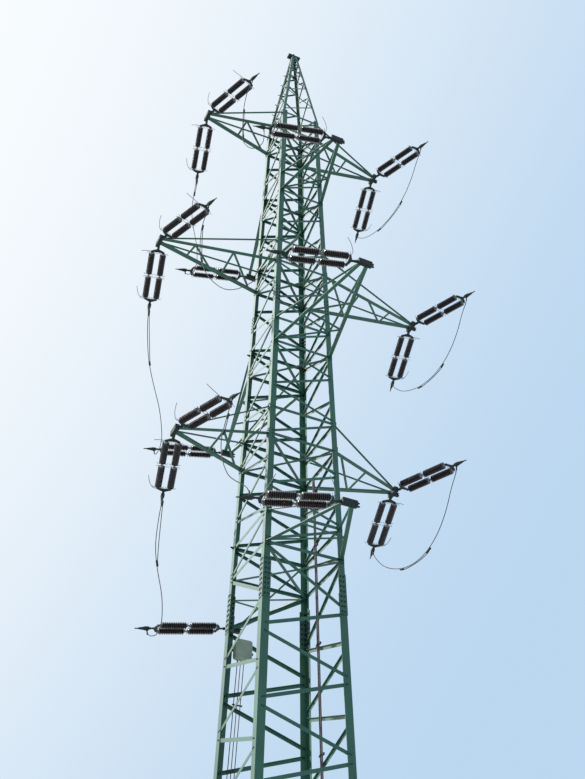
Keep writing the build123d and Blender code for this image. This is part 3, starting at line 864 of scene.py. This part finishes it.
# Peak: bolts at the ends of its bars, and its slope
peakSettings = {
    "rise": 4.35, "topHalf": 0.095, "flange": 0.09, "gauge": 0.072, "gap": 0.07, "bayShare": 0.62,
    "thick": 0.008, "braceThick": 0.006, "boltSize": 0.7,
}
bodyTop = towerSettings["bodyTop"]
peakTop = bodyTop + peakSettings["rise"]
peakSlope = (halfWidth(bodyTop) - peakSettings["topHalf"]) / peakSettings["rise"]


def peakHalf(height):
    return halfWidth(bodyTop) - peakSlope * (height - bodyTop)


def peakPlace(turns, across, height):
    return leaningPlace(turns, across, peakHalf(height), height, peakSlope)


def buildPeakBolts():
    p = peakSettings
    places = []
    height = bodyTop + p["flange"]
    side = -1
    while (following := height + p["bayShare"] * 2 * peakHalf(height)) <= peakTop - p["flange"]:
        for up, edge in ((height + p["gap"] / 2, side), (following - p["gap"] / 2, -side)):
            places += [peakPlace(turns, edge * (peakHalf(up) - p["gauge"]), up) for turns in range(4)]
        height = following
        side = -side
    boltPiece("peakBolts", places, p["thick"] + p["braceThick"], p["boltSize"])


buildPeakBolts()
print("peak bolts", flush=True)

# Lugs on one leg, and climbing bolts on two legs of the peak
stepSettings = {
    "lugHeights": (16.58, 23.13), "fromHeel": 0.05, "lugThick": 0.012, "padRadius": 0.035,
    "lug": ((0.0, -0.03), (0.07, -0.02), (0.07, 0.02), (0.0, 0.03)),
    "pitch": 0.55, "topGap": 0.6, "fromEdge": 0.03, "reach": 0.07, "radius": 0.011, "head": 0.019, "headHigh": 0.014,
}


def buildSteps():
    s = stepSettings
    shapes = Shapes()
    cover = boltSettings["gussetThick"]
    for height in s["lugHeights"]:
        place = facePlace(-1, -halfWidth(height) + s["fromHeel"], height, cover)
        shapes.plate(s["lug"], s["lugThick"], place @ Matrix.Rotation(-pi / 2, 4, "Y"))
        shapes.tube([(0, 0, -cover), (0, 0, s["lugThick"])], s["padRadius"], 8, place)
    for edge in (-1, 1):
        height = bodyTop + s["pitch"]
        while height < peakTop - s["topGap"]:
            place = peakPlace(-1, edge * (peakHalf(height) - s["fromEdge"]), height)
            shapes.tube([(0, 0, 0), (0, 0, s["reach"])], s["radius"], 6, place)
            shapes.tube([(0, 0, s["reach"] - s["headHigh"]), (0, 0, s["reach"])], s["head"], 8, place)
            addHex(shapes, place, s["head"], s["headHigh"])
            height += s["pitch"]
    finishFittings(shapes, "climbingBolts")


buildSteps()
print("climbing bolts", flush=True)

# Inside lines: clamps of the pipes and cables, and the box they serve
lineSettings = {
    "outstand": 0.05, "pipeOffset": 0.30, "pipeSpacing": 0.08, "pipeRadius": 0.018,
    "pipeClamps": (1.3, 3.9, 6.5, 8.8, 11.27, 14.02, 16.8),
    "boxOffset": 0.70, "boxHeight": 13.76, "boxSize": (0.42, 0.48, 0.20), "railDeep": 0.014,
    "cableSpacing": 0.085, "cableLean": 0.036, "cableRadius": 0.011, "cableClamps": (2.0, 4.6, 7.2, 9.8, 12.4),
    # Reach past the pipes, half height and thickness
    "strap": (0.064, 0.030, 0.010), "block": (0.058, 0.025, 0.026),
    "hoopClear": 0.003, "hoopStart": 0.004, "hoopApart": 0.012, "hoopRadius": 0.007, "hoopSteps": 8,
    "bar": (0.045, 0.018, 0.012), "barClear": 0.001, "barBolt": 0.02, "smallBolt": (0.010, 0.008),
}


# A place on the tips of the inner legs of the bars, its Z outwards
def insidePlace(turns, across, height, depth=0.0):
    return facePlace(turns, across, height, -bracingSettings["legThick"] - lineSettings["outstand"] - depth)


def addPipeClamp(shapes, place):
    s = lineSettings
    half = s["pipeSpacing"] / 2 + s["pipeRadius"]
    past, tall, thick = s["strap"]
    shapes.box((-half - past, -tall, 0.0), (half + past, tall, thick), place)
    past, tall, thick = s["block"]
    for low, high in ((-half - past, -half), (half, half + past)):
        shapes.box((low, -tall, -thick), (high, tall, 0.0), place)
    radius = s["pipeRadius"] + s["hoopClear"]
    for middle in (-s["pipeSpacing"] / 2, s["pipeSpacing"] / 2):
        angles = [pi * step / s["hoopSteps"] for step in range(s["hoopSteps"] + 1)]
        hoop = [(middle + cos(a) * radius, -s["pipeRadius"] - sin(a) * radius) for a in angles]
        hoop = [(hoop[0][0], -s["hoopStart"]), *hoop, (hoop[-1][0], -s["hoopStart"])]
        for up in (-s["hoopApart"], s["hoopApart"]):
            shapes.tube([(x, up, z) for x, z in hoop], s["hoopRadius"], 6, place)


def buildLineClamps():
    s = lineSettings
    shapes = Shapes()
    for height in s["pipeClamps"]:
        addPipeClamp(shapes, insidePlace(1, s["pipeOffset"], height))
    past, tall, thick = s["bar"]
    half = s["cableSpacing"] + past
    top = s["boxHeight"] - s["boxSize"][1] / 2
    for height in s["cableClamps"]:
        middle = s["boxOffset"] + s["cableLean"] * (top - height)
        place = insidePlace(2, middle, height, 2 * s["cableRadius"] + s["barClear"])
        shapes.box((-half, -tall, -thick), (half, tall, 0.0), place)
        for offset in (-half + s["barBolt"], half - s["barBolt"]):
            addHex(shapes, place @ moved(offset, 0, -thick) @ halfTurnX, *s["smallBolt"])
    finishFittings(shapes, "lineClamps", 40)


# Lid rim and corner bolts of the box, glands under it and straps behind it
lidSettings = {
    "inset": 0.045, "rim": 0.012, "rimGap": 0.001, "rimOut": 0.005, "rimIn": 0.001,
    "cornerInset": 0.03, "bolt": (0.011, 0.008),
    "glandRadius": 0.019, "glandLine": (0.004, -0.03, -0.05),
    "strapHeights": (-0.13, 0.13), "strapPast": (0.02, 0.09), "strapHalf": 0.015, "strapThick": 0.006,
}


def buildBoxDetails():
    s, d = lineSettings, lidSettings
    width, tall, deep = s["boxSize"]
    place = insidePlace(2, s["boxOffset"], s["boxHeight"], s["railDeep"] + deep)
    shapes = Shapes()
    x, y, rim = width / 2 - d["inset"], tall / 2 - d["inset"], d["rim"]
    inner = y - rim - d["rimGap"]
    for low, high in (
        ((-x, y - rim), (x, y)), ((-x, -y), (x, -y + rim)),
        ((-x, -inner), (-x + rim, inner)), ((x - rim, -inner), (x, inner)),
    ):
        shapes.box((*low, -d["rimOut"]), (*high, d["rimIn"]), place)
    for side, end in product((-1, 1), (-1, 1)):
        at = moved(side * (width / 2 - d["cornerInset"]), end * (tall / 2 - d["cornerInset"]), 0)
        addHex(shapes, place @ at @ halfTurnX, *d["bolt"])
    finishPiece(shapes.piece("boxLid", greyPaint, 40), "grey_box")
    glands = Shapes()
    for offset in (-s["cableSpacing"], 0, s["cableSpacing"]):
        at = insidePlace(2, s["boxOffset"] + offset, s["boxHeight"] - tall / 2, s["cableRadius"])
        glands.tube([(0, up, 0) for up in d["glandLine"]], d["glandRadius"], 8, at)
    past, over = d["strapPast"]
    for up in d["strapHeights"]:
        low = (-width / 2 - past, -d["strapHalf"], -s["railDeep"])
        high = (-width / 2 + over, d["strapHalf"], -s["railDeep"] + d["strapThick"])
        glands.box(low, high, insidePlace(2, s["boxOffset"], s["boxHeight"] + up))
    finishPiece(glands.piece("boxGlands", blackSheath, 40), "cable_sheath")


buildLineClamps()
buildBoxDetails()
print("inside lines", flush=True)

# Tip boxes: dark shells around them, their colour dull steel with painted shade, then bolts, lugs at the right and eyes
# at the branch tips
tipSettings = {
    "cover": 0.004, "length": 0.38, "width": 0.11, "high": 0.15, "bolt": 0.018, "boltHigh": 0.014,
    "boltRow": (-0.13, -0.045, 0.045, 0.13), "outerBolts": (0.14, 0.04), "outerShare": 0.9, "outerHigh": 0.013,
    "clevis": 0.12, "clevisHalf": 0.05, "clevisPlates": ((-0.090, -0.078), (-0.020, -0.008)),
    "pinShare": 0.8, "pinRadius": 0.020, "pinLow": -0.10,
    "eyeReach": 0.075, "eyeThick": 0.012, "eyeHalf": 0.032, "eyeBack": 0.03, "eyeHeights": (-0.045, 0.045),
}


def eyePlate(shapes, place):
    t = tipSettings
    half, middle = t["eyeHalf"], t["eyeReach"] - t["eyeBack"]
    rim = [(middle + half * cos(a), half * sin(a)) for a in map(radians, range(-60, 61, 30))]
    shapes.plate([(0, -half), (middle, -half), *rim, (middle, half), (0, half)], t["eyeThick"], place)


def buildTips():
    t = tipSettings
    shapes, darkShells = Shapes(), Shapes()
    half = [t[key] / 2 + t["cover"] for key in ("length", "width", "high")]
    outer = -t["width"] / 2
    across, upward = t["outerBolts"]
    for level, side in arms:
        base = quarterTurn(turnOfSide[side]) @ Matrix.Translation(tipMiddle(level))
        # A dark shell around the tip box, its colour partly painted shade
        darkShells.box([-value for value in half], half, base)
        for x, (z, turn) in product(t["boltRow"], ((t["high"] / 2, noTurn), (-t["high"] / 2, halfTurnX))):
            addHex(shapes, base @ moved(x, 0, z) @ turn, t["bolt"], t["boltHigh"])
        for x, z in product((-across, across), (-upward, upward)):
            at = base @ moved(x, outer, z) @ Matrix.Rotation(pi / 2, 4, "X")
            addHex(shapes, at, t["bolt"] * t["outerShare"], t["outerHigh"])
        if side == "right":
            for low, high in t["clevisPlates"]:
                shapes.box((-t["clevisHalf"], outer - t["clevis"], low), (t["clevisHalf"], outer, high), base)
            pin = outer - t["pinShare"] * t["clevis"]
            shapes.tube([(0, pin, t["pinLow"]), (0, pin, 0.0)], t["pinRadius"], 8, base)
        if side in sidesOfKind["branch"]:
            turn = noTurn if side == "front" else halfTurnZ
            for z in t["eyeHeights"]:
                eyePlate(shapes, base @ turn @ moved(t["length"] / 2, 0, z))
    finishFittings(shapes, "tipBolts", 40)
    finishFittings(darkShells, "tipCovers")


buildTips()
print("tips", flush=True)

# Peak cap: bars on its ends, bolts above and below, and the pin of the wire holder
capSettings = {
    "length": 0.46, "high": 0.06, "barThick": 0.005, "barHalf": 0.006, "barPlaces": (-0.032, 0.032),
    "barHeights": (0.008, 0.052), "boltOut": 0.16, "boltPlaces": (-0.07, 0.07), "bolt": (0.018, 0.014),
    "pinRise": 0.11, "pinHalf": 0.045, "pinRadius": 0.014, "nut": (0.022, 0.030), "nutRadius": 0.026,
}


def buildCapDetails():
    c = capSettings
    shapes = Shapes()
    bottom, top = (peakTop + up for up in c["barHeights"])
    for end in (-1, 1):
        x = min(end * (c["length"] / 2 - c["barThick"]), end * c["length"] / 2)
        for y in c["barPlaces"]:
            shapes.box((x, y - c["barHalf"], bottom), (x + c["barThick"], y + c["barHalf"], top))
        for y, (z, turn) in product(c["boltPlaces"], ((c["high"], noTurn), (0.0, halfTurnX))):
            addHex(shapes, moved(end * c["boltOut"], y, peakTop + z) @ turn, *c["bolt"])
    pin = moved(0, 0, peakTop + c["high"] + c["pinRise"])
    low, high = c["nut"]
    for start, stop, radius, sides in (
        (-c["pinHalf"], c["pinHalf"], c["pinRadius"], 8),
        (-high, -low, c["nutRadius"], 6), (low, high, c["nutRadius"], 6),
    ):
        shapes.tube([(0, start, 0), (0, stop, 0)], radius, sides, pin)
    finishFittings(shapes, "capBolts", 40)


buildCapDetails()
print("cap", flush=True)

# Anchor bolts of the foot plates, each with a washer and two nuts
anchorSettings = {
    "inset": 0.10, "shift": 0.18, "plate": 0.04, "rod": 0.0195, "reach": 0.11, "washer": 0.038, "washerHigh": 0.006,
    "nut": 0.034, "nutHigh": 0.031, "nutStarts": (0.006, 0.042),
}


def buildAnchors():
    s = anchorSettings
    shapes = Shapes()
    shapes.tube([(0, 0, 0), (0, 0, s["plate"] + s["reach"])], s["rod"], 12)
    shapes.tube([(0, 0, s["plate"]), (0, 0, s["plate"] + s["washerHigh"])], s["washer"], 16)
    for start in s["nutStarts"]:
        addHex(shapes, moved(0, 0, s["plate"] + start), s["nut"], s["nutHigh"])
    template = shapes.piece("anchorTemplate", darkZincWithPaintedShade, 40)
    corner = halfWidth(0) - s["inset"]
    places = [
        moved(x * (corner + shift), y * (corner + shift), 0)
        for x, y, shift in product((-1, 1), (-1, 1), (-s["shift"], s["shift"]))
    ]
    finishPiece(repeated("anchorBolts", template, places, darkZincWithPaintedShade), "zinc_fittings")


buildAnchors()
print("anchors", flush=True)

cameraSettings = {
    "place": (-9.987, -21.823, 1.6), "heading": 24.84, "pitch": 39.71, "roll": 0.66,
    "focal": 1100.5, "longSide": 779, "sensor": 36, "clipEnd": 500,
}
lightSettings = {
    "sunStrength": 3.6, "sunAngle": 2.5, "sunFrom": (-0.75, 0.50, 0.60), "sunColor": (1.0, 0.98, 0.94),
    "sky": (0.72, 0.84, 0.96), "skyStrength": 0.50,
    "backdropLow": (0.50, 0.68, 0.87), "backdropHigh": (0.96, 0.985, 1.0),
    "glowFrom": (-0.80, 0.30, 0.52), "glowRange": (0.0, 0.70),
    "floorSize": 90.0, "floorHeight": -0.002, "floorColor": (0.60, 0.61, 0.62), "floorRough": 0.9,
}


def makeCamera():
    c = cameraSettings
    heading, pitch, roll = (radians(c[key]) for key in ("heading", "pitch", "roll"))
    forward = Vector((sin(heading) * cos(pitch), cos(heading) * cos(pitch), sin(pitch)))
    right = Vector((cos(heading), -sin(heading), 0))
    up = right.cross(forward)
    rolledRight = right * cos(roll) + up * sin(roll)
    rolledUp = up * cos(roll) - right * sin(roll)
    turn = Matrix((rolledRight, rolledUp, -forward)).transposed()
    data = bpy.data.cameras.new("photoCamera")
    data.lens = c["focal"] * c["sensor"] / c["longSide"]
    data.sensor_width = c["sensor"]
    data.clip_end = c["clipEnd"]
    camera = addObject("photoCamera", data)
    camera.matrix_world = Matrix.Translation(c["place"]) @ turn.to_4x4()
    scene.camera = camera


def makeFloor():
    s = lightSettings
    look = newLook("floorPlain", {"Base Color": (*s["floorColor"], 1), "Roughness": s["floorRough"]})[0]
    half, low = s["floorSize"] / 2, s["floorHeight"]
    shapes = Shapes()
    shapes.add([(-half, -half, low), (half, -half, low), (half, half, low), (-half, half, low)], [(0, 1, 2, 3)], noTurn)
    floor = shapes.piece("floor", look)


# Sun, a plain sky that lights, and a soft gradient that is only seen
def makeLight():
    s = lightSettings
    data = bpy.data.lights.new("sun", "SUN")
    data.energy = s["sunStrength"]
    data.color = s["sunColor"]
    data.angle = radians(s["sunAngle"])
    sun = addObject("sun", data)
    sun.rotation_euler = Vector(s["sunFrom"]).to_track_quat("Z", "Y").to_euler()
    world = bpy.data.worlds.new("sky")
    world.use_nodes = True
    tree = world.node_tree
    paths = tree.nodes.new("ShaderNodeLightPath")
    seen = Wire(tree, paths.outputs["Is Camera Ray"])
    for output in ("Is Glossy Ray", "Is Transmission Ray"):
        seen = seen.maths("MAXIMUM", seen, Wire(tree, paths.outputs[output]))
    sky = tree.nodes["Background"]
    sky.inputs["Color"].default_value = (*s["sky"], 1)
    sky.inputs["Strength"].default_value = s["skyStrength"]
    direction = Wire(tree, tree.nodes.new("ShaderNodeTexCoord").outputs["Generated"])
    toGlow = {0: direction, 1: Vector(s["glowFrom"]).normalized()}
    glow = direction.node("ShaderNodeVectorMath", toGlow, 1, operation="DOT_PRODUCT").between(*s["glowRange"])
    backdrop = glow.node("ShaderNodeBackground", {"Color": glow.mix(s["backdropLow"], s["backdropHigh"])})
    chosen = seen.node("ShaderNodeMixShader", {0: seen, 1: Wire(tree, sky.outputs[0]), 2: backdrop})
    tree.links.new(chosen.socket, tree.nodes["World Output"].inputs["Surface"])
    scene.world = world


makeCamera()
makeFloor()
makeLight()
scene.view_settings.view_transform = "Standard"
print("done", flush=True)
